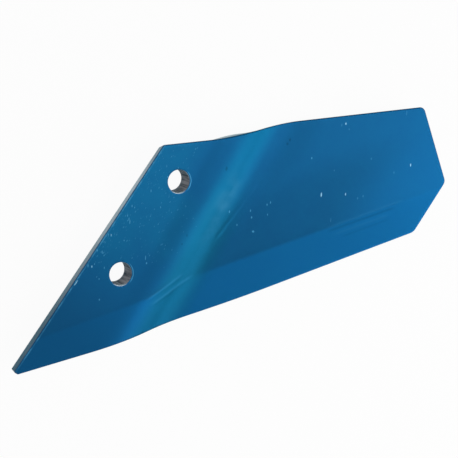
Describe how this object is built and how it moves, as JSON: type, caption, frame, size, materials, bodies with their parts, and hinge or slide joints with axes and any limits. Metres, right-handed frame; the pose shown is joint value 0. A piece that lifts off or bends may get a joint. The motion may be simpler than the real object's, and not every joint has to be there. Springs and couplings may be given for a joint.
{
  "type": "plough share",
  "caption": "Joggled steel wing share with a bolting plate, a bevelled cutting edge and a slanted far end.",
  "frame": {"origin": "half way between the two bolt holes, on the back face of the bolting plate", "axes": "+Z out of the front face, +Y along the line of the two bolts away from the pointed tip, +X towards the wing"},
  "size_m": [0.18, 0.2589, 0.023],
  "materials": {
    "blue_paint": "glossy blue enamel on steel plate, bare grey steel on the cut sides and in the bolt holes"
  },
  "bodies": {
    "root": {"share_blade": "blue_paint"}
  },
  "joints": []
}
